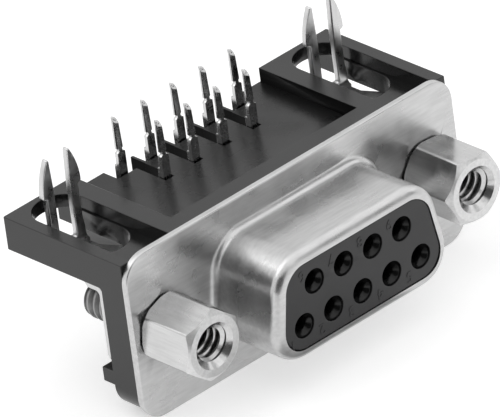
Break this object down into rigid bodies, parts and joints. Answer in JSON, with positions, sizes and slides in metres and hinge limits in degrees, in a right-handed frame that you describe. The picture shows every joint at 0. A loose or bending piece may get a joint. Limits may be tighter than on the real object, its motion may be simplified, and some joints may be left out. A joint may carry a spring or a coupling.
{
  "type": "d-sub connector",
  "caption": "Right-angle D-sub socket with a drawn shell, hexagonal jackscrews, forked board locks and solder tails.",
  "frame": {"origin": "middle of the D on the flange's front face", "axes": "+X along the flange, -Y out of the mating face, +Z towards the circuit board"},
  "size_m": [0.031, 0.0182, 0.0169],
  "materials": {
    "plated_shell": "bright plated",
    "insulator": "moulded, fine texture",
    "bracket": "moulded, fine texture",
    "contact": "tin plated",
    "board_lock": "tin plated",
    "jackscrew": "turned, plated"
  },
  "bodies": {
    "root": {"front_shell": "plated_shell", "front_insulator": "insulator", "rear_insulator": "insulator", "bracket": "bracket", "contact_1": "contact", "contact_2": "contact", "contact_3": "contact", "contact_4": "contact", "contact_5": "contact", "contact_6": "contact", "contact_7": "contact", "contact_8": "contact", "contact_9": "contact", "board_lock_left": "board_lock", "board_lock_right": "board_lock", "jackscrew_left": "jackscrew", "jackscrew_right": "jackscrew"}
  },
  "joints": []
}
